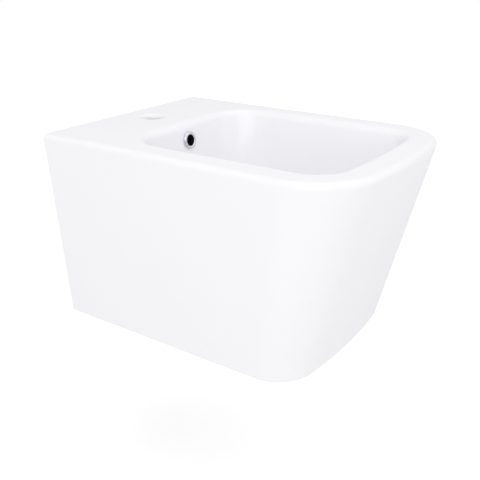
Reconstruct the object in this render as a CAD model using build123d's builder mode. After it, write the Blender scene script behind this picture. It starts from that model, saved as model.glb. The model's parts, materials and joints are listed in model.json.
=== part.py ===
from build123d import *
from math import atan, cos, degrees, radians, sin
import os

os.makedirs("parts", exist_ok=True)

# Wall-hung bidet. The back face stands on the wall plane Y = 0 and the front is at -Y.
# The origin is midway between the two wall studs. Sizes are in millimetres.

# Outer shape of the ceramic body
rim_z = 75.0
base_z = -250.0
rim_width = 392.0
rim_depth = 540.0
rim_corner_radius = 100.0
base_width = 339.0
base_depth = 458.0
base_corner_radius = 66.0
front_bow = 6.5
rim_edge_radius = 9.0
base_edge_radius = 3.5
back_edge_radius = 2.5

# Walls of the casting
side_wall = 10.0
back_wall = 14.0
rim_thickness = 15.0
base_lip_height = 14.0
base_lip_width = 26.0

# Bowl, measured where its walls would meet the rim and the floor without rounding
side_ledge = 50.0
rear_ledge = 136.0
front_ledge = 52.0
bowl_front_radius = 48.0
bowl_back_radius = 64.0
bowl_front_bow = 4.0
bowl_floor_z = -62.0
bowl_side_draw = 21.0
bowl_back_draw = 20.0
bowl_front_draw = 25.0
bowl_wall = 9.0
bowl_lip_radius = 13.0
bowl_floor_radius = 38.0
core_start_depth = 8.0

# Drain in the bowl floor
drain_behind_middle = 7.0
dish_radius = 78.0
dish_depth = 10.0
dish_wall = 12.0
seat_radius = 36.0
neck_radius = 37.0
neck_height = 26.0
neck_bore_radius = 23.0

# Tap hole in the rear ledge
tap_hole_y = -60.0
tap_hole_radius = 17.5
tap_hole_edge_radius = 8.0

# Overflow
overflow_below_rim = 31.0
overflow_hole_radius = 12.5
channel_width = 24.0
channel_gap = 14.0
channel_wall = 7.0
channel_top_below_rim = 17.0
channel_roof = 6.0
channel_height = 12.0
bezel_radius = 15.0
bezel_height = 4.0
bezel_edge_radius = 1.9
ring_bore_radius = 9.7
ring_sleeve_radius = 11.0
ring_sleeve_length = 13.0
grip_length = 8.0

# Wall fixing
stud_spacing = 180.0
wall_thread_radius = 6.0
nut_thread_radius = 5.0
stud_in_wall = 60.0
stud_past_nut = 8.0
boss_radius = 23.0
boss_depth = 24.0
sleeve_radius = 10.0
sleeve_flange_radius = 15.0
sleeve_flange_thickness = 4.0
washer_radius = 10.5
washer_thickness = 2.0
nut_across_flats = 17.0
nut_height = 8.0

# Plumbing opening in the back wall
back_opening_width = 116.0
back_opening_top = -118.0
back_opening_bottom = -222.0
back_opening_radius = 20.0

# Drain fitting
gasket_thickness = 2.0
gasket_radius = 30.0
flange_radius = 32.0
flange_height = 4.0
flange_edge_radius = 1.6
barrel_radius = 20.95
barrel_bore_radius = 17.0
nut_gap = 2.0
throat_radius = 24.0
throat_depth = 7.0
slot_width = 12.0
slot_height = 10.0
hub_radius = 9.0
hub_height = 6.0
hub_below_slots = 4.0
spoke_width = 4.0
cartridge_radius = 8.0
cartridge_height = 12.0
cartridge_shank_radius = 5.5
cartridge_shank_length = 14.0
stem_radius = 3.0
stem_below_cartridge = 6.0
stem_collar_radius = 7.0
stem_collar_height = 2.0
plug_travel = 8.0
cap_radius = 31.0
cap_edge_height = 3.0
cap_crown = 3.5
cap_seal_bore_radius = 15.0
cap_seal_height = 3.0
spring_wire_radius = 0.6
spring_radius = 5.0
spring_turns = 5
cone_height = 10.0
cone_top_radius = 24.5
cone_bottom_radius = 29.0
friction_washer_radius = 29.0
friction_washer_thickness = 2.0
back_nut_across_flats = 58.0
back_nut_height = 9.0

# Bottle trap
trap_nut_radius = 26.0
trap_nut_grip = 13.0
trap_nut_lip = 5.0
trap_nut_ribs = 12
trap_rib_radius = 1.6
trap_seal_thickness = 2.0
trap_seal_bore_radius = 13.5
trap_flange_radius = 20.0
trap_flange_thickness = 3.0
trap_pipe_radius = 16.0
trap_pipe_wall = 1.8
trap_neck_length = 22.0
trap_head_radius = 33.0
trap_head_height = 38.0
trap_head_wall = 3.0
trap_roof_drop = 4.0
trap_outlet_above_head_base = 22.0
trap_stub_length = 24.0
trap_stub_radius = 20.95
trap_thread_radius = 29.0
trap_thread_length = 10.0
trap_cup_radius = 32.0
trap_cup_depth = 46.0
trap_cup_wall = 2.6
trap_cup_floor_radius = 9.0
trap_cup_ribs = 16
trap_dip_above_cup_floor = 14.0
trap_cup_seal_thickness = 2.0
outlet_insert = 18.0
outlet_seal_length = 6.0
outlet_nut_lip = 4.0
pipe_past_wall = 50.0
pipe_end_chamfer = 1.0
pipe_mark_width = 1.0
pipe_mark_depth = 0.4

# A quarter of a full turn, in degrees
quarter_turn = 90

# Clearances
sleeve_clearance = 0.3
stud_clearance = 0.2
thread_clearance = 0.05
slide_clearance = 0.1
travel_clearance = 0.3
pipe_clearance = 0.3


# The bowl's place in the rim, and the drain's place in the bowl
bowl_half_width = rim_width / 2 - side_ledge
bowl_back = -rear_ledge
bowl_front = front_ledge - rim_depth
drain_y = (bowl_back + bowl_front) / 2 + drain_behind_middle


def body_level(z):
    """Half width, front and corner radius of the outer shape at a height."""
    share = (z - base_z) / (rim_z - base_z)
    half_width = (base_width + share * (rim_width - base_width)) / 2
    front = -(base_depth + share * (rim_depth - base_depth))
    radius = base_corner_radius + share * (rim_corner_radius - base_corner_radius)
    return half_width, front, radius


def bowl_level(z):
    """Half width, back and front of the bowl's inside at a height."""
    share = (rim_z - z) / (rim_z - bowl_floor_z)
    half_width = bowl_half_width - share * bowl_side_draw
    back = bowl_back - share * bowl_back_draw
    front = bowl_front + share * bowl_front_draw
    return half_width, back, front


def front_curve(half_width, front, radius, bow):
    """Side to side: a corner arc, the bowed front and the other corner arc."""
    turn = quarter_turn - bow
    bow_radius = (half_width - radius + radius * sin(radians(bow))) / sin(radians(bow))
    corner_y = front + bow_radius * (1 - cos(radians(bow))) + radius * cos(radians(bow))
    right = CenterArc((half_width - radius, corner_y), radius, 0, -turn)
    CenterArc((0, front + bow_radius), bow_radius, -turn, -2 * bow)
    left = CenterArc((radius - half_width, corner_y), radius, -turn - 2 * bow, -turn)
    return right @ 0, left @ 1


def body_outline(z, inset, back):
    """Outline of the outer shape at a height, inset by a wall, with a straight back."""
    half_width, front, radius = body_level(z)
    with BuildLine() as outline:
        right, left = front_curve(half_width - inset, front + inset, radius - inset, front_bow)
        back_right = Line(right, (half_width - inset, back)) @ 1
        back_left = Line(back_right, (inset - half_width, back)) @ 1
        Line(back_left, left)
    make_face(outline.edges())


def bowl_outline(z, grow):
    """Outline of the bowl at a height, grown by a wall."""
    half_width, back, front = bowl_level(z)
    side = half_width + grow
    rear = back + grow
    corner = bowl_back_radius + grow
    with BuildLine() as outline:
        right, left = front_curve(side, front - grow, bowl_front_radius + grow, bowl_front_bow)
        Line(right, (side, rear - corner))
        rear_start = CenterArc((side - corner, rear - corner), corner, 0, quarter_turn) @ 1
        Line(rear_start, (corner - side, rear))
        CenterArc((corner - side, rear - corner), corner, quarter_turn, quarter_turn)
        Line((-side, rear - corner), left)
    make_face(outline.edges())


# Heights and places that follow from the sizes above
slab_z = rim_z - rim_thickness
seat_z = bowl_floor_z - dish_depth
neck_z = seat_z - neck_height
flange_base_z = seat_z + gasket_thickness
flange_top_z = flange_base_z + flange_height
back_nut_top_z = neck_z - cone_height - friction_washer_thickness
barrel_z = back_nut_top_z - back_nut_height - nut_gap - trap_nut_grip
barrel_length = flange_base_z - barrel_z
channel_floor_z = seat_z - channel_roof - channel_height
channel_roof_z = seat_z - channel_roof
channel_top_z = rim_z - channel_top_below_rim
hub_top_z = channel_floor_z - hub_below_slots
cartridge_top_z = hub_top_z + cartridge_height
cap_base_z = flange_top_z + travel_clearance + plug_travel
cap_seal_z = cap_base_z - cap_seal_height
seal_meets_throat = throat_radius - (throat_radius - barrel_bore_radius) * (
    (flange_top_z - cap_seal_z + plug_travel) / throat_depth
)
cap_seal_radius = seal_meets_throat - travel_clearance
collar_z = cap_seal_z - stem_collar_height
stem_z = cartridge_top_z - cartridge_height - cartridge_shank_length - stem_below_cartridge
trap_flange_top_z = barrel_z - trap_seal_thickness
trap_flange_base_z = trap_flange_top_z - trap_flange_thickness
trap_nut_top_z = barrel_z + trap_nut_grip
trap_nut_z = trap_flange_base_z - trap_nut_lip
trap_head_top_z = trap_flange_top_z - trap_neck_length
trap_head_z = trap_head_top_z - trap_head_height
outlet_z = trap_head_z + trap_outlet_above_head_base
cup_top_z = trap_head_z - trap_cup_seal_thickness
cup_z = cup_top_z - trap_cup_depth
stub_end_y = drain_y + trap_head_radius + trap_stub_length
nut_y = -boss_depth - sleeve_flange_thickness - washer_thickness - nut_height
stud_front_y = nut_y - stud_past_nut

# The rear wall of the bowl leans back, and the overflow ring lies flat on it.
overflow_z = rim_z - overflow_below_rim
overflow_y = bowl_level(overflow_z)[1]
rear_lean = degrees(atan(bowl_back_draw / (rim_z - bowl_floor_z)))
overflow_plane = Plane(
    origin=(0, overflow_y, overflow_z),
    x_dir=(1, 0, 0),
    z_dir=(0, -cos(radians(rear_lean)), sin(radians(rear_lean))),
)


def drain_level(z):
    """A level plane centred on the drain."""
    return Plane(origin=(0, drain_y, z))


def back_level(y):
    """An upright plane that faces the wall, centred between the studs."""
    return Plane(origin=(0, y, 0), x_dir=(1, 0, 0), z_dir=(0, -1, 0))


def channel_outline():
    """Section of the overflow channel, behind the bowl and under it to the drain."""
    back_top = bowl_level(channel_top_z)[1] + bowl_wall
    back_roof = bowl_level(channel_roof_z)[1] + bowl_wall
    back_floor = bowl_level(channel_floor_z)[1] + bowl_wall
    with BuildLine() as outline:
        Polyline(
            (back_top, channel_top_z),
            (back_top + channel_gap, channel_top_z),
            (back_floor + channel_gap, channel_floor_z),
            (drain_y + neck_bore_radius / 2, channel_floor_z),
            (drain_y + neck_bore_radius / 2, channel_roof_z),
            (back_roof, channel_roof_z),
            close=True,
        )
    make_face(outline.edges())


# Solid core round the bowl, with the dish, the drain neck and the overflow channel's walls
with BuildPart() as bowl_core:
    core_top_z = rim_z - core_start_depth
    core_z = bowl_floor_z - bowl_wall
    with BuildSketch(Plane.XY.offset(core_z)):
        bowl_outline(bowl_floor_z, bowl_wall)
    with BuildSketch(Plane.XY.offset(core_top_z)):
        bowl_outline(core_top_z, bowl_wall)
    loft(ruled=True)
    core_floor = bowl_core.faces().sort_by(Axis.Z)[0]
    fillet(core_floor.edges(), bowl_floor_radius)
    with BuildSketch(drain_level(core_z)):
        Circle(dish_radius)
    with BuildSketch(drain_level(seat_z - dish_wall)):
        Circle(neck_radius)
    loft(ruled=True)
    with BuildSketch(drain_level(neck_z)):
        Circle(neck_radius)
    extrude(amount=core_z - neck_z)
    with BuildSketch(Plane.YZ):
        channel_outline()
        offset(amount=channel_wall)
    extrude(amount=channel_width / 2 + channel_wall, both=True)

# Space inside the bowl
with BuildPart() as bowl_space:
    with BuildSketch(Plane.XY.offset(bowl_floor_z)):
        bowl_outline(bowl_floor_z, 0)
    with BuildSketch(Plane.XY.offset(rim_z)):
        bowl_outline(rim_z, 0)
    loft(ruled=True)
    space_floor = bowl_space.faces().sort_by(Axis.Z)[0]
    fillet(space_floor.edges(), bowl_floor_radius)
    with BuildSketch(drain_level(seat_z)):
        Circle(seat_radius)
    with BuildSketch(drain_level(bowl_floor_z)):
        Circle(dish_radius)
    loft(ruled=True)

# Ceramic body
with BuildPart() as ceramic_body:
    with BuildSketch(Plane.XY.offset(base_z)):
        body_outline(base_z, 0, back_wall)
    with BuildSketch(Plane.XY.offset(rim_z)):
        body_outline(rim_z, 0, back_wall)
    loft(ruled=True)
    split(bisect_by=back_level(0), keep=Keep.TOP)
    rim_face = ceramic_body.faces().sort_by(Axis.Z)[-1]
    fillet(rim_face.edges().sort_by(Axis.Y)[:-1], rim_edge_radius)
    base_face = ceramic_body.faces().sort_by(Axis.Z)[0]
    fillet(base_face.edges().sort_by(Axis.Y)[:-1], base_edge_radius)
    back_face = ceramic_body.faces().sort_by(Axis.Y)[-1]
    fillet(back_face.edges(), back_edge_radius)

    # hollow between the outer walls, open at the underside
    cavity_z = base_z + base_lip_height
    with BuildSketch(Plane.XY.offset(cavity_z)):
        body_outline(cavity_z, side_wall, -back_wall)
    with BuildSketch(Plane.XY.offset(slab_z)):
        body_outline(slab_z, side_wall, -back_wall)
    loft(ruled=True, mode=Mode.SUBTRACT)
    with BuildSketch(Plane.XY.offset(base_z)):
        body_outline(base_z, base_lip_width, -base_lip_width)
    extrude(amount=base_lip_height, mode=Mode.SUBTRACT)

    # opening of the bowl
    add(bowl_space.part, mode=Mode.SUBTRACT)
    lip_edges = ceramic_body.faces().sort_by(Axis.Z)[-1].inner_wires()[0].edges()
    fillet(lip_edges, bowl_lip_radius)

    # wall bosses and their holes
    with BuildSketch(back_level(-back_wall)):
        with GridLocations(stud_spacing, 0, 2, 1):
            Circle(boss_radius)
    extrude(amount=boss_depth - back_wall)
    with BuildSketch(back_level(0)):
        with GridLocations(stud_spacing, 0, 2, 1):
            Circle(sleeve_radius + sleeve_clearance)
    extrude(amount=boss_depth, mode=Mode.SUBTRACT)

    # plumbing opening in the back wall
    with BuildSketch(back_level(0)):
        with Locations((0, (back_opening_top + back_opening_bottom) / 2)):
            RectangleRounded(
                back_opening_width,
                back_opening_top - back_opening_bottom,
                back_opening_radius,
            )
    extrude(amount=back_wall, mode=Mode.SUBTRACT)

    # tap hole, with a rounded upper edge
    with BuildSketch(Plane(origin=(0, tap_hole_y, rim_z))):
        Circle(tap_hole_radius)
    extrude(amount=-rim_thickness, mode=Mode.SUBTRACT)
    deck_circles = ceramic_body.edges().filter_by(GeomType.CIRCLE).group_by(Axis.Z)[-1]
    tap_edge = deck_circles.filter_by(lambda e: abs(e.radius - tap_hole_radius) < thread_clearance)
    fillet(tap_edge, tap_hole_edge_radius)
ceramic_body.part.label = "ceramic_body"
export_step(ceramic_body.part, "parts/ceramic_body.step")

# Ceramic bowl: one casting with the body, drawn as a solid of its own below the rim's slab
with BuildPart() as ceramic_bowl:
    add(bowl_core.part)
    add(bowl_space.part, mode=Mode.SUBTRACT)
    split(bisect_by=Plane.XY.offset(slab_z), keep=Keep.BOTTOM)

    # drain bore, overflow channel and overflow hole
    with BuildSketch(drain_level(neck_z)):
        Circle(neck_bore_radius)
    extrude(amount=neck_height, mode=Mode.SUBTRACT)
    with BuildSketch(Plane.YZ):
        channel_outline()
    extrude(amount=channel_width / 2, both=True, mode=Mode.SUBTRACT)
    with BuildSketch(overflow_plane):
        Circle(overflow_hole_radius)
    extrude(amount=-bowl_wall - channel_gap / 2, mode=Mode.SUBTRACT)
ceramic_bowl.part.label = "ceramic_bowl"
export_step(ceramic_bowl.part, "parts/ceramic_bowl.step")

# Overflow ring: a rounded bezel on the bowl wall and a sleeve through it
with BuildPart() as overflow_ring:
    with BuildSketch(overflow_plane):
        Circle(bezel_radius)
        Circle(ring_bore_radius, mode=Mode.SUBTRACT)
    extrude(amount=bezel_height)
    bezel_face = overflow_ring.faces().filter_by(overflow_plane).sort_by(Axis.Y)[0]
    fillet(bezel_face.edges(), bezel_edge_radius)
    with BuildSketch(overflow_plane):
        Circle(ring_sleeve_radius)
        Circle(ring_bore_radius, mode=Mode.SUBTRACT)
    extrude(amount=-ring_sleeve_length)
overflow_ring.part.label = "overflow_ring"
export_step(overflow_ring.part, "parts/overflow_ring.step")

# Rubber collar between the ring's sleeve and the hole
with BuildPart() as overflow_ring_grip:
    with BuildSketch(overflow_plane):
        Circle(overflow_hole_radius)
        Circle(ring_sleeve_radius, mode=Mode.SUBTRACT)
    extrude(amount=-grip_length)
overflow_ring_grip.part.label = "overflow_ring_grip"
export_step(overflow_ring_grip.part, "parts/overflow_ring_grip.step")

# Flat rubber ring under the drain's flange
with BuildPart() as waste_top_gasket:
    with BuildSketch(drain_level(seat_z)):
        Circle(gasket_radius)
        Circle(barrel_radius, mode=Mode.SUBTRACT)
    extrude(amount=gasket_thickness)
waste_top_gasket.part.label = "waste_top_gasket"
export_step(waste_top_gasket.part, "parts/waste_top_gasket.step")

# Drain body: flange, threaded barrel, overflow slots and the hub that holds the cartridge
with BuildPart() as waste_body:
    with BuildSketch(drain_level(flange_base_z)):
        Circle(flange_radius)
    extrude(amount=flange_height)
    flange_face = waste_body.faces().sort_by(Axis.Z)[-1]
    fillet(flange_face.edges(), flange_edge_radius)
    with BuildSketch(drain_level(barrel_z)):
        Circle(barrel_radius)
    extrude(amount=barrel_length)
    with BuildSketch(drain_level(barrel_z)):
        Circle(barrel_bore_radius)
    extrude(amount=barrel_length + flange_height, mode=Mode.SUBTRACT)
    with BuildSketch(drain_level(flange_top_z - throat_depth)):
        Circle(barrel_bore_radius)
    with BuildSketch(drain_level(flange_top_z)):
        Circle(throat_radius)
    loft(ruled=True, mode=Mode.SUBTRACT)
    slot_z = (channel_floor_z + channel_roof_z - slot_height) / 2
    with BuildSketch(drain_level(slot_z)):
        Rectangle(2 * flange_radius, slot_width)
        Rectangle(slot_width, 2 * flange_radius)
    extrude(amount=slot_height, mode=Mode.SUBTRACT)
    with BuildSketch(drain_level(hub_top_z - hub_height)):
        Circle(hub_radius)
        Rectangle(2 * barrel_bore_radius + spoke_width / 2, spoke_width)
        Rectangle(spoke_width, 2 * barrel_bore_radius + spoke_width / 2)
        Circle(cartridge_shank_radius, mode=Mode.SUBTRACT)
    extrude(amount=hub_height)
waste_body.part.label = "waste_body"
export_step(waste_body.part, "parts/waste_body.step")

# Push-push guide: a housing on the hub and a shank through it
with BuildPart() as waste_cartridge:
    with BuildSketch(drain_level(hub_top_z)):
        Circle(cartridge_radius)
    extrude(amount=cartridge_height)
    with BuildSketch(drain_level(hub_top_z - cartridge_shank_length)):
        Circle(cartridge_shank_radius)
    extrude(amount=cartridge_shank_length)
    with BuildSketch(drain_level(hub_top_z - cartridge_shank_length)):
        Circle(stem_radius + slide_clearance)
    extrude(amount=cartridge_shank_length + cartridge_height, mode=Mode.SUBTRACT)
waste_cartridge.part.label = "waste_cartridge"
export_step(waste_cartridge.part, "parts/waste_cartridge.step")

# Rod under the cap, with a collar that the spring lifts
with BuildPart() as waste_stem:
    with BuildSketch(drain_level(stem_z)):
        Circle(stem_radius)
    extrude(amount=cap_base_z - stem_z)
    with BuildSketch(drain_level(collar_z)):
        Circle(stem_collar_radius)
    extrude(amount=cap_base_z - collar_z)
waste_stem.part.label = "waste_stem"
export_step(waste_stem.part, "parts/waste_stem.step")

# Spring between the cartridge and the collar
spring_height = collar_z - cartridge_top_z - 2 * spring_wire_radius
spring_pitch = spring_height / spring_turns
with BuildPart() as waste_spring:
    with BuildLine() as spring_path:
        Helix(
            spring_pitch,
            spring_height,
            spring_radius,
            center=(0, drain_y, cartridge_top_z + spring_wire_radius),
        )
    with BuildSketch(spring_path.line ^ 0):
        Circle(spring_wire_radius)
    sweep()
waste_spring.part.label = "waste_spring"
export_step(waste_spring.part, "parts/waste_spring.step")

# Domed cap of the plug
with BuildPart() as waste_cap:
    with BuildSketch(Plane(origin=(0, drain_y, 0), x_dir=(1, 0, 0), z_dir=(0, -1, 0))):
        cap_edge_z = cap_base_z + cap_edge_height
        crown_z = cap_edge_z + cap_crown
        with BuildLine():
            Line((0, cap_base_z), (cap_radius, cap_base_z))
            Line((cap_radius, cap_base_z), (cap_radius, cap_edge_z))
            bend = (cap_radius**2 + cap_crown**2) / (2 * cap_crown)
            half_angle = degrees(atan(cap_radius / (bend - cap_crown)))
            CenterArc((0, crown_z - bend), bend, quarter_turn - half_angle, half_angle)
            Line((0, crown_z), (0, cap_base_z))
        make_face()
    revolve(axis=Axis((0, drain_y, 0), (0, 0, 1)))
    cap_rim = waste_cap.edges().filter_by(GeomType.CIRCLE)
    fillet(cap_rim, cap_edge_height / 4)
waste_cap.part.label = "waste_cap"
export_step(waste_cap.part, "parts/waste_cap.step")

# Rubber ring under the cap
with BuildPart() as waste_cap_seal:
    with BuildSketch(drain_level(cap_seal_z)):
        Circle(cap_seal_radius)
        Circle(cap_seal_bore_radius, mode=Mode.SUBTRACT)
    extrude(amount=cap_seal_height)
waste_cap_seal.part.label = "waste_cap_seal"
export_step(waste_cap_seal.part, "parts/waste_cap_seal.step")

# Rubber cone that seals the neck from below
with BuildPart() as waste_cone_gasket:
    with BuildSketch(drain_level(neck_z - cone_height)):
        Circle(cone_bottom_radius)
    with BuildSketch(drain_level(neck_z)):
        Circle(cone_top_radius)
    loft(ruled=True)
    with BuildSketch(drain_level(neck_z - cone_height)):
        Circle(barrel_radius)
    extrude(amount=cone_height, mode=Mode.SUBTRACT)
waste_cone_gasket.part.label = "waste_cone_gasket"
export_step(waste_cone_gasket.part, "parts/waste_cone_gasket.step")

# Plastic ring that lets the nut turn without twisting the cone
with BuildPart() as waste_friction_washer:
    with BuildSketch(drain_level(back_nut_top_z)):
        Circle(friction_washer_radius)
        Circle(barrel_radius, mode=Mode.SUBTRACT)
    extrude(amount=friction_washer_thickness)
waste_friction_washer.part.label = "waste_friction_washer"
export_step(waste_friction_washer.part, "parts/waste_friction_washer.step")

# Nut that clamps the drain to the bowl
with BuildPart() as waste_back_nut:
    with BuildSketch(drain_level(back_nut_top_z)):
        RegularPolygon(back_nut_across_flats / 2, 6, major_radius=False)
        Circle(barrel_radius, mode=Mode.SUBTRACT)
    extrude(amount=-back_nut_height)
waste_back_nut.part.label = "waste_back_nut"
export_step(waste_back_nut.part, "parts/waste_back_nut.step")

# Flat seal between the drain and the trap
with BuildPart() as trap_inlet_seal:
    with BuildSketch(drain_level(trap_flange_top_z)):
        Circle(trap_flange_radius)
        Circle(trap_seal_bore_radius, mode=Mode.SUBTRACT)
    extrude(amount=trap_seal_thickness)
trap_inlet_seal.part.label = "trap_inlet_seal"
export_step(trap_inlet_seal.part, "parts/trap_inlet_seal.step")

# Ribbed nut that hangs the trap on the drain
with BuildPart() as trap_inlet_nut:
    with BuildSketch(drain_level(trap_nut_z)):
        Circle(trap_nut_radius)
        with PolarLocations(trap_nut_radius, trap_nut_ribs):
            Circle(trap_rib_radius)
        Circle(trap_pipe_radius + pipe_clearance, mode=Mode.SUBTRACT)
    extrude(amount=trap_nut_lip)
    with BuildSketch(drain_level(trap_flange_base_z)):
        Circle(trap_nut_radius)
        with PolarLocations(trap_nut_radius, trap_nut_ribs):
            Circle(trap_rib_radius)
        Circle(barrel_radius, mode=Mode.SUBTRACT)
    extrude(amount=trap_nut_top_z - trap_flange_base_z)
trap_inlet_nut.part.label = "trap_inlet_nut"
export_step(trap_inlet_nut.part, "parts/trap_inlet_nut.step")

# Head of the bottle trap: flanged inlet, dip tube, bottle head and threaded outlet stub
with BuildPart() as trap_body:
    dip_z = cup_z + trap_cup_wall + trap_dip_above_cup_floor
    with BuildSketch(drain_level(trap_head_z)):
        Circle(trap_head_radius)
    extrude(amount=trap_head_height)
    head_top = trap_body.faces().sort_by(Axis.Z)[-1]
    fillet(head_top.edges(), trap_roof_drop)
    with BuildSketch(drain_level(trap_head_z - trap_thread_length)):
        Circle(trap_thread_radius)
    extrude(amount=trap_thread_length)
    with BuildSketch(back_level(drain_y)):
        with Locations((0, outlet_z)):
            Circle(trap_stub_radius)
    extrude(amount=drain_y - stub_end_y)
    with BuildSketch(drain_level(trap_head_z - trap_thread_length)):
        Circle(trap_thread_radius - trap_head_wall)
    extrude(
        amount=trap_thread_length + trap_head_height - trap_head_wall - trap_roof_drop,
        mode=Mode.SUBTRACT,
    )
    with BuildSketch(back_level(drain_y)):
        with Locations((0, outlet_z)):
            Circle(trap_pipe_radius - trap_pipe_wall)
    extrude(amount=drain_y - stub_end_y, mode=Mode.SUBTRACT)
    with BuildSketch(back_level(stub_end_y)):
        with Locations((0, outlet_z)):
            Circle(trap_pipe_radius + pipe_clearance)
    extrude(amount=outlet_insert, mode=Mode.SUBTRACT)
    with BuildSketch(drain_level(dip_z)):
        Circle(trap_pipe_radius)
    extrude(amount=trap_flange_top_z - dip_z)
    with BuildSketch(drain_level(trap_flange_base_z)):
        Circle(trap_flange_radius)
    extrude(amount=trap_flange_thickness)
    with BuildSketch(drain_level(dip_z)):
        Circle(trap_pipe_radius - trap_pipe_wall)
    extrude(amount=trap_flange_top_z - dip_z, mode=Mode.SUBTRACT)
trap_body.part.label = "trap_body"
export_step(trap_body.part, "parts/trap_body.step")

# Seal between head and cup
with BuildPart() as trap_cup_seal:
    with BuildSketch(drain_level(cup_top_z)):
        Circle(trap_cup_radius)
        Circle(trap_thread_radius, mode=Mode.SUBTRACT)
    extrude(amount=trap_cup_seal_thickness)
trap_cup_seal.part.label = "trap_cup_seal"
export_step(trap_cup_seal.part, "parts/trap_cup_seal.step")

# Screwed cup of the trap, ribbed for the hand
with BuildPart() as trap_cup:
    with BuildSketch(drain_level(cup_z)):
        Circle(trap_cup_radius)
    extrude(amount=trap_cup_depth)
    cup_floor = trap_cup.faces().sort_by(Axis.Z)[0]
    fillet(cup_floor.edges(), trap_cup_floor_radius)
    with BuildSketch(drain_level(cup_z + trap_cup_floor_radius)):
        with PolarLocations(trap_cup_radius, trap_cup_ribs):
            Circle(trap_rib_radius)
    extrude(amount=trap_cup_depth - trap_cup_floor_radius)
    with BuildSketch(drain_level(cup_z + trap_cup_wall)):
        Circle(trap_thread_radius - trap_cup_wall)
    extrude(amount=trap_cup_depth, mode=Mode.SUBTRACT)
    with BuildSketch(drain_level(cup_top_z - trap_thread_length + trap_cup_seal_thickness)):
        Circle(trap_thread_radius)
    extrude(amount=trap_thread_length, mode=Mode.SUBTRACT)
trap_cup.part.label = "trap_cup"
export_step(trap_cup.part, "parts/trap_cup.step")

# Waste pipe from the trap to the wall, with a chamfered end and a mark for its insertion depth
with BuildPart() as trap_outlet_pipe:
    with BuildSketch(back_level(pipe_past_wall)):
        with Locations((0, outlet_z)):
            Circle(trap_pipe_radius)
            Circle(trap_pipe_radius - trap_pipe_wall, mode=Mode.SUBTRACT)
    extrude(amount=pipe_past_wall - stub_end_y + outlet_insert)
    pipe_end = trap_outlet_pipe.edges().filter_by(GeomType.CIRCLE).group_by(Axis.Y)[-1]
    chamfer(pipe_end.sort_by(SortBy.RADIUS)[-1], pipe_end_chamfer)
    with BuildSketch(back_level(0)):
        with Locations((0, outlet_z)):
            Circle(trap_pipe_radius)
            Circle(trap_pipe_radius - pipe_mark_depth, mode=Mode.SUBTRACT)
    extrude(amount=pipe_mark_width, mode=Mode.SUBTRACT)
trap_outlet_pipe.part.label = "trap_outlet_pipe"
export_step(trap_outlet_pipe.part, "parts/trap_outlet_pipe.step")

# Seal that the outlet nut presses against the stub
with BuildPart() as trap_outlet_seal:
    with BuildSketch(back_level(stub_end_y + outlet_seal_length)):
        with Locations((0, outlet_z)):
            Circle(trap_flange_radius)
            Circle(trap_pipe_radius, mode=Mode.SUBTRACT)
    extrude(amount=outlet_seal_length)
trap_outlet_seal.part.label = "trap_outlet_seal"
export_step(trap_outlet_seal.part, "parts/trap_outlet_seal.step")

# Ribbed nut on the outlet stub
with BuildPart() as trap_outlet_nut:
    outlet_nut_y = stub_end_y + outlet_seal_length + outlet_nut_lip
    with BuildSketch(back_level(outlet_nut_y)):
        with Locations((0, outlet_z)):
            Circle(trap_nut_radius)
            with PolarLocations(trap_nut_radius, trap_nut_ribs):
                Circle(trap_rib_radius)
            Circle(trap_pipe_radius + pipe_clearance, mode=Mode.SUBTRACT)
    extrude(amount=outlet_nut_lip)
    with BuildSketch(back_level(stub_end_y + outlet_seal_length)):
        with Locations((0, outlet_z)):
            Circle(trap_nut_radius)
            with PolarLocations(trap_nut_radius, trap_nut_ribs):
                Circle(trap_rib_radius)
            Circle(trap_stub_radius, mode=Mode.SUBTRACT)
    extrude(amount=outlet_seal_length + trap_nut_grip)
trap_outlet_nut.part.label = "trap_outlet_nut"
export_step(trap_outlet_nut.part, "parts/trap_outlet_nut.step")

# Two stepped studs: a wall thread behind the wall plane and a thinner thread for the nut
with BuildPart() as wall_studs:
    with BuildSketch(back_level(stud_in_wall)):
        with GridLocations(stud_spacing, 0, 2, 1):
            Circle(wall_thread_radius)
    extrude(amount=stud_in_wall)
    with BuildSketch(back_level(0)):
        with GridLocations(stud_spacing, 0, 2, 1):
            Circle(nut_thread_radius)
    extrude(amount=-stud_front_y)
wall_studs.part.label = "wall_studs"
export_step(wall_studs.part, "parts/wall_studs.step")

# Plastic sleeves that keep the studs off the ceramic
with BuildPart() as stud_sleeves:
    with BuildSketch(back_level(0)):
        with GridLocations(stud_spacing, 0, 2, 1):
            Circle(sleeve_radius)
    extrude(amount=boss_depth)
    with BuildSketch(back_level(-boss_depth)):
        with GridLocations(stud_spacing, 0, 2, 1):
            Circle(sleeve_flange_radius)
    extrude(amount=sleeve_flange_thickness)
    with BuildSketch(back_level(0)):
        with GridLocations(stud_spacing, 0, 2, 1):
            Circle(nut_thread_radius + stud_clearance)
    extrude(amount=boss_depth + sleeve_flange_thickness, mode=Mode.SUBTRACT)
stud_sleeves.part.label = "stud_sleeves"
export_step(stud_sleeves.part, "parts/stud_sleeves.step")

# Steel washers under the nuts
with BuildPart() as stud_washers:
    with BuildSketch(back_level(-boss_depth - sleeve_flange_thickness)):
        with GridLocations(stud_spacing, 0, 2, 1):
            Circle(washer_radius)
            Circle(nut_thread_radius + stud_clearance, mode=Mode.SUBTRACT)
    extrude(amount=washer_thickness)
stud_washers.part.label = "stud_washers"
export_step(stud_washers.part, "parts/stud_washers.step")

# Hexagon nuts that hold the body to the wall
with BuildPart() as stud_nuts:
    with BuildSketch(back_level(nut_y + nut_height)):
        with GridLocations(stud_spacing, 0, 2, 1):
            RegularPolygon(nut_across_flats / 2, 6, major_radius=False)
            Circle(nut_thread_radius + thread_clearance, mode=Mode.SUBTRACT)
    extrude(amount=nut_height)
stud_nuts.part.label = "stud_nuts"
export_step(stud_nuts.part, "parts/stud_nuts.step")
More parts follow.
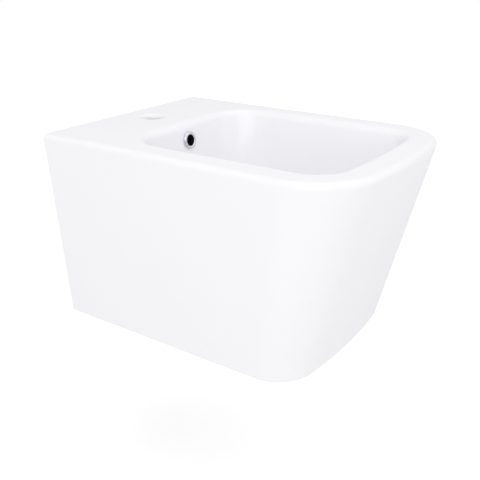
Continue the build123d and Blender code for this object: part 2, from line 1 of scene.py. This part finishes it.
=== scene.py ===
"""Wall-hung bidet in a plain pale room: glazed body, chrome fittings, drain, bottle trap
and wall fixing. Names in capitals are in millimetres unless they say otherwise."""
import json
from math import cos, pi, radians, sin

import bpy
from mathutils import Matrix, Vector


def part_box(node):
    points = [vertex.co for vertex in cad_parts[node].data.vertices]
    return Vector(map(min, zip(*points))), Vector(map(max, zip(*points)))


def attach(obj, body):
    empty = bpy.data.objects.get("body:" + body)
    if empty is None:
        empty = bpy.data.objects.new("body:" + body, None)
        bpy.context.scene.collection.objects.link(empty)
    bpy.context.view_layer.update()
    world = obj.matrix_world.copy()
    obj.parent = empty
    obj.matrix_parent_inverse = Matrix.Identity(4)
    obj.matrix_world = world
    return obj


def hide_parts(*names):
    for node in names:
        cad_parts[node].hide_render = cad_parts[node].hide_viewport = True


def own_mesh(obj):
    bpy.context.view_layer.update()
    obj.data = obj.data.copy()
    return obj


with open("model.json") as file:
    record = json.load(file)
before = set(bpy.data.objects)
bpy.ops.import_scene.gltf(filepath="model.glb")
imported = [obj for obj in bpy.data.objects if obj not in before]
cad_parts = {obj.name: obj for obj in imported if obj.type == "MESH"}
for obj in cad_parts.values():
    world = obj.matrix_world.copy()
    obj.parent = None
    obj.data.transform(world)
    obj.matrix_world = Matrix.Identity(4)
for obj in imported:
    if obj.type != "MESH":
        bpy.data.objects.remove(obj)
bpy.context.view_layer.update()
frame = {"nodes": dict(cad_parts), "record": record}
BIDET = "bidet"
MM = 0.001
WELD_M = 1e-6


# Camera: where it stands, in metres, and how it turns, in the object's own frame
EYE = Vector((-0.90873, -0.86875, 0.33480))
CAMERA_TURN = radians(-55.557)
CAMERA_RISE = radians(22.2375)
LENS_MM = 52.103
SENSOR_MM = 36
NEAREST_SEEN = 10


def place_camera():
    back = Vector((
        sin(CAMERA_TURN) * cos(CAMERA_RISE),
        -cos(CAMERA_TURN) * cos(CAMERA_RISE),
        sin(CAMERA_RISE),
    ))
    right = Vector((cos(CAMERA_TURN), sin(CAMERA_TURN), 0))
    up = back.cross(right)
    lens = bpy.data.cameras.new("photo_camera")
    lens.sensor_width = SENSOR_MM
    lens.lens = LENS_MM
    lens.clip_start = NEAREST_SEEN * MM
    camera = bpy.data.objects.new("photo_camera", lens)
    bpy.context.scene.collection.objects.link(camera)
    camera.matrix_world = Matrix((
        (right.x, up.x, back.x, EYE.x),
        (right.y, up.y, back.y, EYE.y),
        (right.z, up.z, back.z, EYE.z),
        (0, 0, 0, 1),
    ))
    bpy.context.scene.camera = camera


class Value:
    """A shader socket that takes part in Python sums: each sum adds its Math node."""

    def __init__(self, finish, socket):
        self.finish = finish
        self.socket = socket

    def sum_with(self, operation, *values, clamp=False):
        return self.finish.node(
            "ShaderNodeMath",
            {"operation": operation, "use_clamp": clamp},
            {place: value for place, value in enumerate(values)},
        )

    def __add__(self, other):
        return self.sum_with("ADD", self, other)

    def __radd__(self, other):
        return self.sum_with("ADD", other, self)

    def __sub__(self, other):
        return self.sum_with("SUBTRACT", self, other)

    def __rsub__(self, other):
        return self.sum_with("SUBTRACT", other, self)

    def __mul__(self, other):
        return self.sum_with("MULTIPLY", self, other)

    def __rmul__(self, other):
        return self.sum_with("MULTIPLY", other, self)

    def clamped(self):
        return self.sum_with("ADD", self, 0.0, clamp=True)

    def larger(self, other):
        return self.sum_with("MAXIMUM", self, other)


# The colour sockets of a Mix node, which has number sockets of the same names
MIX_FIRST_COLOUR = 6
MIX_SECOND_COLOUR = 7
MIX_COLOUR_OUT = 2


class Finish:
    """One material and its nodes, with the shader that ends it. Lengths here are in metres."""

    def __init__(self, name):
        self.material = bpy.data.materials.new(name)
        self.material.use_nodes = True
        self.tree = self.material.node_tree
        self.tree.nodes.clear()
        self.output = self.tree.nodes.new("ShaderNodeOutputMaterial")

    def node(self, kind, settings=None, sockets=None, out=0):
        """A node of any kind: its settings first, then values or links for its sockets."""
        made = self.tree.nodes.new(kind)
        for name, value in (settings or {}).items():
            setattr(made, name, value)
        for name, value in (sockets or {}).items():
            if isinstance(value, Value):
                self.tree.links.new(value.socket, made.inputs[name])
            else:
                made.inputs[name].default_value = value
        return Value(self, made.outputs[out])

    def place(self, scale=(1, 1, 1), shift=(0, 0, 0)):
        """Object coordinates in metres, scaled and then shifted."""
        spot = self.node("ShaderNodeTexCoord", out="Object")
        return self.node(
            "ShaderNodeMapping",
            None,
            {"Vector": spot, "Scale": scale, "Location": shift},
        )

    def noise(self, size, detail=2.0, rough=0.5, where=None):
        """Noise from 0 to 1 whose patches are about size metres across."""
        return self.node("ShaderNodeTexNoise", None, {
            "Vector": where or self.place(),
            "Scale": 1 / size,
            "Detail": detail,
            "Roughness": rough,
        })

    def colour_between(self, share, first, second):
        """First colour where share is 0 and second where it is 1; each a triple or a Value."""
        first, second = (
            colour if isinstance(colour, Value) else (*colour, 1) for colour in (first, second)
        )
        return self.node(
            "ShaderNodeMix",
            {"data_type": "RGBA"},
            {"Factor": share, MIX_FIRST_COLOUR: first, MIX_SECOND_COLOUR: second},
            out=MIX_COLOUR_OUT,
        )

    def beyond(self, axis, limit, sign=1):
        """1 where the place along an axis is past a limit in metres, 0 before it."""
        spot = self.node("ShaderNodeSeparateXYZ", None, {"Vector": self.place()}, out=axis)
        return ((spot - limit) * (sign / GLAZE_EDGE_M)).clamped()

    def bump(self, height, depth, strength):
        """Normal from a height between 0 and 1 that stands for depth metres."""
        return self.node(
            "ShaderNodeBump",
            None,
            {"Height": height, "Distance": depth, "Strength": strength},
            out="Normal",
        )

    def surface(self, **sockets):
        """The Principled shader with these sockets, joined to the output."""
        names = {name.replace("_", " "): value for name, value in sockets.items()}
        shader = self.node("ShaderNodeBsdfPrincipled", None, names)
        self.tree.links.new(shader.socket, self.output.inputs["Surface"])
        return self.material


# Glaze stops at the wall face and at the ring that the body stood on in the kiln
GLAZE_EDGE_M = 0.0005
BACK_CLAY_Y_M = -0.0010
BASE_CLAY_Z_M = -0.2490


def glazed_ceramic():
    """White glaze with a very faint warm and cool drift and the shallow waviness of firing.
    It mirrors most where it faces the eye. The wall face and the foot ring are bare clay."""
    finish = Finish("white_glaze")
    bare = finish.beyond("Y", BACK_CLAY_Y_M).larger(finish.beyond("Z", BASE_CLAY_Z_M, -1))
    grit = finish.noise(size=0.0012, detail=4.0, rough=0.7)
    clay = finish.colour_between(grit, (0.83, 0.805, 0.76), (0.89, 0.87, 0.825))
    glaze = 1 - bare
    drift = finish.noise(size=0.16, detail=1.5)
    speck = finish.noise(size=0.0022)
    wave = finish.noise(size=0.035, detail=1.0)
    turned_away = finish.node("ShaderNodeLayerWeight", None, {"Blend": 0.5}, out="Facing")
    white = finish.colour_between(drift, (0.912, 0.905, 0.930), (0.922, 0.916, 0.936))
    return finish.surface(
        Base_Color=finish.colour_between(bare, white, clay),
        Roughness=0.30 + 0.10 * speck + 0.4 * bare,
        IOR=1.5,
        Specular_IOR_Level=0.0,
        Coat_Weight=(1 - turned_away) * (1 - 0.1 * speck) * glaze,
        Coat_Roughness=0.10,
        Coat_IOR=1.5,
        Normal=finish.bump(wave, depth=0.0003, strength=0.6),
    )


def chrome():
    """Polished chrome with faint wipe marks."""
    finish = Finish("polished_chrome")
    wipe = finish.noise(size=0.004, detail=3.0, where=finish.place(scale=(1, 1, 4)))
    return finish.surface(
        Base_Color=finish.colour_between(wipe, (0.58, 0.59, 0.61), (0.66, 0.67, 0.69)),
        Metallic=1.0,
        Roughness=0.04 + 0.07 * wipe,
    )


def brass():
    """Turned brass with fine lathe lines and a little tarnish."""
    finish = Finish("turned_brass")
    tarnish = finish.noise(size=0.012, detail=4.0, rough=0.65)
    lines = finish.noise(size=0.0006, detail=1.0, where=finish.place(scale=(0.05, 0.05, 1)))
    return finish.surface(
        Base_Color=finish.colour_between(tarnish, (0.56, 0.41, 0.19), (0.72, 0.56, 0.30)),
        Metallic=1.0,
        Roughness=0.24 + 0.16 * tarnish,
        Normal=finish.bump(lines, depth=0.00004, strength=0.6),
    )


def zinc_plate():
    """Zinc-plated steel with cloudy spangle."""
    finish = Finish("zinc_plate")
    cloud = finish.noise(size=0.006, detail=4.0, rough=0.6)
    grain = finish.noise(size=0.0006)
    return finish.surface(
        Base_Color=finish.colour_between(cloud, (0.40, 0.41, 0.43), (0.55, 0.56, 0.57)),
        Metallic=1.0,
        Roughness=0.26 + 0.18 * cloud,
        Normal=finish.bump(grain, depth=0.00003, strength=0.5),
    )


def bright_wire():
    """Drawn spring wire."""
    finish = Finish("bright_wire")
    streak = finish.noise(size=0.0015, detail=3.0)
    return finish.surface(
        Base_Color=finish.colour_between(streak, (0.42, 0.42, 0.44), (0.54, 0.54, 0.56)),
        Metallic=1.0,
        Roughness=0.22 + 0.14 * streak,
    )


def black_rubber():
    """Moulded rubber with a dusty bloom."""
    finish = Finish("black_rubber_moulded")
    bloom = finish.noise(size=0.009, detail=4.0, rough=0.6)
    grain = finish.noise(size=0.0007)
    return finish.surface(
        Base_Color=finish.colour_between(bloom, (0.018, 0.018, 0.019), (0.042, 0.042, 0.043)),
        Roughness=0.62 + 0.2 * bloom,
        Normal=finish.bump(grain, depth=0.00006, strength=0.6),
    )


def moulded_plastic(name, dark, light):
    """Satin moulded plastic with a fine spark-eroded grain."""
    finish = Finish(name)
    cloud = finish.noise(size=0.03, detail=3.0)
    grain = finish.noise(size=0.0005, rough=0.6)
    return finish.surface(
        Base_Color=finish.colour_between(cloud, dark, light),
        Roughness=0.34 + 0.12 * grain,
        Normal=finish.bump(grain, depth=0.00004, strength=0.5),
    )


def overflow_painted_shade():
    """A near-black sheet inside the overflow bore: painted shade for the dark of the hole, with a
    faint random mottle.
    """
    finish = Finish("overflow_painted_shade")
    shade_mottle = finish.noise(size=0.003, detail=3.0)
    return finish.surface(
        Base_Color=finish.colour_between(shade_mottle, (0.004, 0.004, 0.004), (0.009, 0.009, 0.010)),
        Roughness=0.55 + 0.15 * shade_mottle,
        Specular_IOR_Level=0.25,
    )


WHITE_MOULDING = (0.82, 0.82, 0.81), (0.87, 0.87, 0.86)
GREY_MOULDING = (0.32, 0.32, 0.33), (0.38, 0.38, 0.39)
FINISHES = {
    "ceramic": glazed_ceramic(),
    "chrome": chrome(),
    "brass": brass(),
    "steel": zinc_plate(),
    "spring_steel": bright_wire(),
    "black_rubber": black_rubber(),
    "white_plastic": moulded_plastic("white_moulding", *WHITE_MOULDING),
    "grey_plastic": moulded_plastic("grey_moulding", *GREY_MOULDING),
}


def finish_cad_nodes():
    """Each CAD node takes the finish of its slot in the record."""
    for row in frame["record"]["subparts"]:
        node = frame["nodes"][row["node"]]
        node.data.materials.clear()
        node.data.materials.append(FINISHES[row["material_slot"]])


# Modelling by hand: each step acts on what is selected, so everything else is deselected first
def start(add_primitive, name, **sizes):
    """Adds a primitive and leaves it alone in edit mode."""
    bpy.ops.object.select_all(action="DESELECT")
    add_primitive(**sizes)
    piece = bpy.context.object
    piece.name = name
    piece.data.name = name
    bpy.ops.object.mode_set(mode="EDIT")
    return piece


def close_edit():
    """Merges doubles, turns the faces outwards and leaves edit mode."""
    bpy.ops.mesh.select_all(action="SELECT")
    bpy.ops.mesh.remove_doubles(threshold=WELD_M)
    bpy.ops.mesh.normals_make_consistent(inside=False)
    bpy.ops.object.mode_set(mode="OBJECT")


def only(piece):
    """Selects the piece alone."""
    bpy.ops.object.select_all(action="DESELECT")
    piece.select_set(True)
    bpy.context.view_layer.objects.active = piece


def settle():
    """Moves the place, turn and scale of what is selected into its mesh."""
    bpy.ops.object.transform_apply(location=True, rotation=True, scale=True)


def apply_modifier(piece, modifier):
    only(piece)
    bpy.ops.object.modifier_apply(modifier=modifier.name)


def smooth(piece, crease):
    """Smooth shading, apart from edges sharper than crease degrees."""
    only(piece)
    bpy.ops.object.shade_smooth_by_angle(angle=radians(crease))


def stand_on(piece, place, direction):
    """Turns the piece's Z along a direction and moves it to its place."""
    piece.rotation_mode = "QUATERNION"
    piece.rotation_quaternion = Vector(direction).to_track_quat("Z", "Y")
    piece.location = Vector(place)
    only(piece)
    settle()


def hand_over(piece, finish, slot, *nodes):
    """Gives the piece its finish and its body, and hides the nodes it stands for. The slot is not
    used.
    """
    piece.data.materials.clear()
    piece.data.materials.append(finish)
    if nodes:
        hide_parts(*nodes)
    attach(piece, BIDET)


# Pieces turned round an axis
TURNED_SIDES = 96
TURNED_CREASE = 40


def turned_piece(name, rings):
    """A closed profile of (radius, height) rings round Z. Each ring is extruded from the one
    before, lifted and scaled, and the last meets the first."""
    radius, height = rings[0]
    piece = start(
        bpy.ops.mesh.primitive_circle_add,
        name,
        vertices=TURNED_SIDES,
        radius=radius * MM,
        location=(0, 0, height * MM),
    )
    for next_radius, next_height in rings[1:] + rings[:1]:
        bpy.ops.mesh.extrude_region_move()
        bpy.ops.transform.translate(value=(0, 0, (next_height - height) * MM))
        share = next_radius / radius
        bpy.ops.transform.resize(
            value=(share, share, 1),
            center_override=(0, 0, next_height * MM),
        )
        radius, height = next_radius, next_height
    close_edit()
    settle()
    return piece


# Overflow ring: on the rear wall of the bowl, which leans back a little
RIM_Z = 75
BOWL_BACK_Y = -136
BOWL_BACK_DRAW = 20
BOWL_DEPTH = 137
OVERFLOW_BELOW_RIM = 31
BEZEL = {"radius": 15, "height": 4, "bore": 9.7, "sleeve": 11, "sleeve_length": 13}
BEZEL_FOOT_BEVEL = 0.5
BEZEL_CREST = 12
BEZEL_SHOULDER = 1.4
BEZEL_STEPS = 5
# The near-black sheet in the bore that paints the shade of the hole: its wall, and how far below
# the bezel's face it starts
SHADE_SHEET_WALL = 0.25
SHADE_SHEET_BELOW_FACE = 1.0


def overflow_axis():
    """Where the ring sits on the wall of the bowl, and the way it looks."""
    look = Vector((0, -BOWL_DEPTH, BOWL_BACK_DRAW)).normalized()
    y = BOWL_BACK_Y - BOWL_BACK_DRAW * OVERFLOW_BELOW_RIM / BOWL_DEPTH
    return Vector((0, y, RIM_Z - OVERFLOW_BELOW_RIM)) * MM, look


def bezel_rings():
    """The sleeve, a bevelled foot, a quarter round up to the crest and one down to the bore."""
    outer, tall, bore = BEZEL["radius"], BEZEL["height"], BEZEL["bore"]
    rings = [
        (bore, -BEZEL["sleeve_length"]),
        (BEZEL["sleeve"], -BEZEL["sleeve_length"]),
        (BEZEL["sleeve"], 0),
        (outer - BEZEL_FOOT_BEVEL, 0),
        (outer, BEZEL_FOOT_BEVEL),
    ]
    for step in range(2 * BEZEL_STEPS + 1):
        turn = pi / 2 * step / BEZEL_STEPS
        outside = step < BEZEL_STEPS
        reach = outer - BEZEL_CREST if outside else BEZEL_CREST - bore
        base = BEZEL_SHOULDER if outside else tall - SHADE_SHEET_BELOW_FACE
        rings.append((BEZEL_CREST + reach * cos(turn), base + (tall - base) * sin(turn)))
    return rings


# The sheet that carries the painted shade: a thin tube just inside the bore
def shade_sheet_rings():
    top = BEZEL["height"] - SHADE_SHEET_BELOW_FACE - SHADE_SHEET_WALL
    bottom = -BEZEL["sleeve_length"]
    outside = BEZEL["bore"]
    inside = outside - SHADE_SHEET_WALL
    return [(outside, top), (outside, bottom), (inside, bottom), (inside, top)]


def make_overflow_ring():
    place, look = overflow_axis()
    ring = turned_piece("overflow_bezel", bezel_rings())
    smooth(ring, TURNED_CREASE)
    stand_on(ring, place, look)
    hand_over(ring, FINISHES["chrome"], "chrome", "overflow_ring")
    # The bore is covered with a near-black sheet: painted shade for the dark inside the overflow
    # hole
    shade_sheet = turned_piece("overflow_shade_sheet", shade_sheet_rings())
    smooth(shade_sheet, TURNED_CREASE)
    stand_on(shade_sheet, place, look)
    hand_over(shade_sheet, overflow_painted_shade(), "black_rubber")


# Spring of the plug: it stands on the guide; the real one shortens as the plug is pushed down,
# this one keeps the length of the CAD node
SPRING = {"wire": 0.6, "radius": 5, "turns": 5}
SPRING_WIRE_SIDES = 12
SPRING_STEPS = 36
SPRING_CREASE = 50


def make_plug_spring():
    low, high = (Vector(corner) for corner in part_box("waste_spring"))
    height = high.z - low.z
    wire = SPRING["wire"] * MM
    spring = start(
        bpy.ops.mesh.primitive_circle_add,
        "plug_spring",
        vertices=SPRING_WIRE_SIDES,
        radius=wire,
        location=(SPRING["radius"] * MM, 0, wire),
        rotation=(pi / 2, 0, 0),
    )
    bpy.ops.object.mode_set(mode="OBJECT")
    settle()
    coil = spring.modifiers.new("coil", "SCREW")
    coil.screw_offset = (height - 2 * wire) / SPRING["turns"]
    coil.iterations = SPRING["turns"]
    coil.steps = coil.render_steps = SPRING_STEPS
    apply_modifier(spring, coil)
    bpy.ops.object.mode_set(mode="EDIT")
    bpy.ops.mesh.select_all(action="SELECT")
    bpy.ops.mesh.fill_holes(sides=0)
    close_edit()
    stand_on(spring, ((low.x + high.x) / 2, (low.y + high.y) / 2, low.z), (0, 0, 1))
    smooth(spring, SPRING_CREASE)
    hand_over(spring, FINISHES["spring_steel"], "spring_steel", "waste_spring")
    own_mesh(spring)


# Wall fixing: studs that step down at the wall, and their nuts
STUD_X = 90
WALL_THREAD = {"radius": 6, "pitch": 1.75, "depth": 1.05, "length": 60}
NUT_THREAD = {"radius": 5, "pitch": 1.5, "depth": 0.9, "length": 46}
THREAD_SIDES = 28
THREAD_CREASE = 20
SPARE_TURNS = 2
END_CHAMFER = 1.2
NUT = {"flats": 17, "height": 8, "y": -38, "bore": 5.05}
NUT_BORE_SIDES = 48
NUT_CORNER_START = 1.01
NUT_CORNER_CUT_OUT = 0.5
NUT_CORNER_CUT_ALONG = 0.866
NUT_EDGE_RADIUS = 0.2
NUT_EDGE_STEPS = 2
NUT_CREASE = 30


def thread_profile(thread):
    """One turn of thread, root to root, as (radius, height) with a narrow flat on the crest."""
    pitch, crest = thread["pitch"], thread["radius"]
    root = crest - thread["depth"]
    return [
        (root, 0),
        (root, pitch / 8),
        (crest, pitch / 2),
        (crest, pitch * 5 / 8),
        (root, pitch),
    ]


def threaded_rod(name, thread):
    """A rod with a real helical thread along Z from 0 to its length, chamfered at the far end.
    The thread starts and stops some spare turns outside, which are then cut off square."""
    pitch, length = thread["pitch"], thread["length"]
    profile = thread_profile(thread)
    mesh = bpy.data.meshes.new(name)
    mesh.from_pydata(
        [(radius * MM, 0, (height - SPARE_TURNS * pitch) * MM) for radius, height in profile],
        [(place, place + 1) for place in range(len(profile) - 1)],
        [],
    )
    rod = bpy.data.objects.new(name, mesh)
    bpy.context.scene.collection.objects.link(rod)
    screw = rod.modifiers.new("thread", "SCREW")
    screw.screw_offset = pitch * MM
    screw.iterations = int(length / pitch) + 2 * SPARE_TURNS
    screw.steps = screw.render_steps = THREAD_SIDES
    screw.use_merge_vertices = True
    screw.merge_threshold = WELD_M
    screw.use_smooth_shade = False
    apply_modifier(rod, screw)
    for vertex in rod.data.vertices:
        spot = vertex.co
        reach = Vector((spot.x, spot.y)).length
        allowed = (thread["radius"] - END_CHAMFER) * MM + max(0, length * MM - spot.z)
        if reach > allowed > 0:
            spot.x *= allowed / reach
            spot.y *= allowed / reach
    bpy.ops.object.mode_set(mode="EDIT")
    for height, outwards in ((0, -1), (length, 1)):
        bpy.ops.mesh.select_all(action="SELECT")
        bpy.ops.mesh.bisect(
            plane_co=(0, 0, height * MM),
            plane_no=(0, 0, outwards),
            use_fill=True,
            clear_outer=True,
            threshold=WELD_M,
        )
    close_edit()
    return rod


def join(name, *pieces):
    bpy.ops.object.select_all(action="DESELECT")
    for piece in pieces:
        piece.select_set(True)
    bpy.context.view_layer.objects.active = pieces[0]
    bpy.ops.object.join()
    pieces[0].name = name
    return pieces[0]


def pair_at_studs(name, piece):
    """The piece at the left stud and a copy at the right one, joined."""
    other = piece.copy()
    other.data = piece.data.copy()
    bpy.context.scene.collection.objects.link(other)
    for each, x in ((piece, -STUD_X), (other, STUD_X)):
        each.location = (x * MM, 0, 0)
        only(each)
        settle()
    return join(name, piece, other)


def make_studs():
    wall_end = threaded_rod("stud_wall_thread", WALL_THREAD)
    stand_on(wall_end, (0, 0, 0), (0, 1, 0))
    nut_end = threaded_rod("stud_nut_thread", NUT_THREAD)
    stand_on(nut_end, (0, 0, 0), (0, -1, 0))
    stud = join("threaded_stud", wall_end, nut_end)
    studs = pair_at_studs("threaded_studs", stud)
    smooth(studs, THREAD_CREASE)
    hand_over(studs, FINISHES["steel"], "steel", "wall_studs")


def nut_blank():
    """A hexagonal prism along Z whose edges are cut off slanting above and below each flat."""
    across, tall = NUT["flats"] / 2, NUT["height"]
    nut = start(
        bpy.ops.mesh.primitive_cylinder_add,
        "hexagon_nut",
        vertices=6,
        radius=across / cos(pi / 6) * MM,
        depth=tall * MM,
    )
    start_of_cut = across * NUT_CORNER_START * MM
    for side in range(6):
        turn = side * pi / 3 + pi / 2
        for way in (-1, 1):
            bpy.ops.mesh.select_all(action="SELECT")
            bpy.ops.mesh.bisect(
                plane_co=(start_of_cut * cos(turn), start_of_cut * sin(turn), way * tall / 2 * MM),
                plane_no=(
                    cos(turn) * NUT_CORNER_CUT_OUT,
                    sin(turn) * NUT_CORNER_CUT_OUT,
                    way * NUT_CORNER_CUT_ALONG,
                ),
                use_fill=True,
                clear_outer=True,
            )
    close_edit()
    return nut


def bore_out(nut):
    drill = start(
        bpy.ops.mesh.primitive_cylinder_add,
        "nut_bore",
        vertices=NUT_BORE_SIDES,
        radius=NUT["bore"] * MM,
        depth=2 * NUT["height"] * MM,
    )
    close_edit()
    cut = nut.modifiers.new("bore", "BOOLEAN")
    cut.object = drill
    cut.operation = "DIFFERENCE"
    cut.solver = "EXACT"
    apply_modifier(nut, cut)
    bpy.data.objects.remove(drill)


def round_edges(nut):
    rounding = nut.modifiers.new("rounded_edges", "BEVEL")
    rounding.width = NUT_EDGE_RADIUS * MM
    rounding.segments = NUT_EDGE_STEPS
    rounding.limit_method = "ANGLE"
    rounding.angle_limit = radians(NUT_CREASE)
    apply_modifier(nut, rounding)


def make_nuts():
    nut = nut_blank()
    bore_out(nut)
    round_edges(nut)
    stand_on(nut, (0, (NUT["y"] + NUT["height"] / 2) * MM, 0), (0, -1, 0))
    nuts = pair_at_studs("hexagon_nuts", nut)
    smooth(nuts, NUT_CREASE)
    hand_over(nuts, FINISHES["steel"], "steel", "stud_nuts")


# Room, in metres and watts. The floor and the world are brighter to the eye and in mirrors
# than they are as light on the object
ROOM_LIGHT = 0.69
FLOOR_Z = -0.60
FLOOR_SIZE = 24
FLOOR_COLOUR = (0.94, 0.94, 0.94)
FLOOR_LIFT = 0.24
FAR_FLOOR_LIFT = 0.5
FLOOR_LIFT_REACH = 2.5
WHITE = (1, 1, 1, 1)
LAMP_AIM = Vector((0, -0.27, -0.05))
LAMPS = (
    ("window", 17.4, 2.2, (-1.83, -1.10, 1.22)),
    ("ceiling", 9.9, 2.2, (0, -0.49, 2.45)),
    ("right_fill", 4.9, 2.2, (1.39, -1.86, 0.93)),
    ("wall_side_fill", 3.9, 2.2, (-1.67, 1.43, 1.19)),
)


def seen_directly(finish):
    """1 for camera, glossy and transmitted rays, 0 for the rays that light the object."""
    rays = finish.tree.nodes.new("ShaderNodeLightPath")
    camera_ray = Value(finish, rays.outputs["Is Camera Ray"])
    glossy_ray = Value(finish, rays.outputs["Is Glossy Ray"])
    passing_ray = Value(finish, rays.outputs["Is Transmission Ray"])
    return camera_ray.larger(glossy_ray).larger(passing_ray)


class RoomLight(Finish):
    """The world's nodes."""

    def __init__(self):
        world = bpy.data.worlds.new("pale_room")
        bpy.context.scene.world = world
        world.use_nodes = True
        self.tree = world.node_tree
        self.tree.nodes.clear()
        self.output = self.tree.nodes.new("ShaderNodeOutputWorld")


def light_room():
    room = RoomLight()
    seen = seen_directly(room)
    strength = ROOM_LIGHT + seen * (1 - ROOM_LIGHT)
    glow = room.node("ShaderNodeBackground", None, {"Color": WHITE, "Strength": strength})
    room.tree.links.new(glow.socket, room.output.inputs["Surface"])


def soft_lamp(name, power, size, place):
    """A square lamp that looks at the middle of the object; its place counts from there."""
    lamp = bpy.data.lights.new(name, "AREA")
    lamp.energy = power
    lamp.size = size
    stand = bpy.data.objects.new(name, lamp)
    bpy.context.scene.collection.objects.link(stand)
    stand.location = LAMP_AIM + Vector(place)
    stand.rotation_euler = (-Vector(place)).to_track_quat("-Z", "Y").to_euler()


def pale_floor():
    """Matt and pale, a little lifted to the eye, more so far out, and clear from below."""
    finish = Finish("pale_floor")
    matt = finish.node("ShaderNodeBsdfDiffuse", None, {"Color": (*FLOOR_COLOUR, 1)})
    from_middle = finish.place(
        scale=(1 / FLOOR_LIFT_REACH,) * 3,
        shift=(0, 0, -FLOOR_Z / FLOOR_LIFT_REACH),
    )
    near = finish.node(
        "ShaderNodeTexGradient",
        {"gradient_type": "SPHERICAL"},
        {"Vector": from_middle},
        out="Fac",
    )
    strength = seen_directly(finish) * (FLOOR_LIFT + (1 - near) * FAR_FLOOR_LIFT)
    lift = finish.node("ShaderNodeEmission", None, {"Color": WHITE, "Strength": strength})
    top_side = finish.node("ShaderNodeAddShader", None, {0: matt, 1: lift})
    under_side = finish.node("ShaderNodeBsdfTransparent")
    below = finish.node("ShaderNodeNewGeometry", out="Backfacing")
    both = finish.node("ShaderNodeMixShader", None, {0: below, 1: top_side, 2: under_side})
    finish.tree.links.new(both.socket, finish.output.inputs["Surface"])
    return finish.material


def lay_floor():
    bpy.ops.object.select_all(action="DESELECT")
    bpy.ops.mesh.primitive_plane_add(size=FLOOR_SIZE, location=(0, 0, FLOOR_Z))
    floor = bpy.context.object
    floor.name = "floor"
    settle()
    floor.data.materials.append(pale_floor())


place_camera()
finish_cad_nodes()
make_overflow_ring()
make_plug_spring()
make_studs()
make_nuts()
light_room()
for lamp in LAMPS:
    soft_lamp(*lamp)
lay_floor()
bpy.context.scene.view_settings.view_transform = "Standard"

bpy.context.view_layer.update()
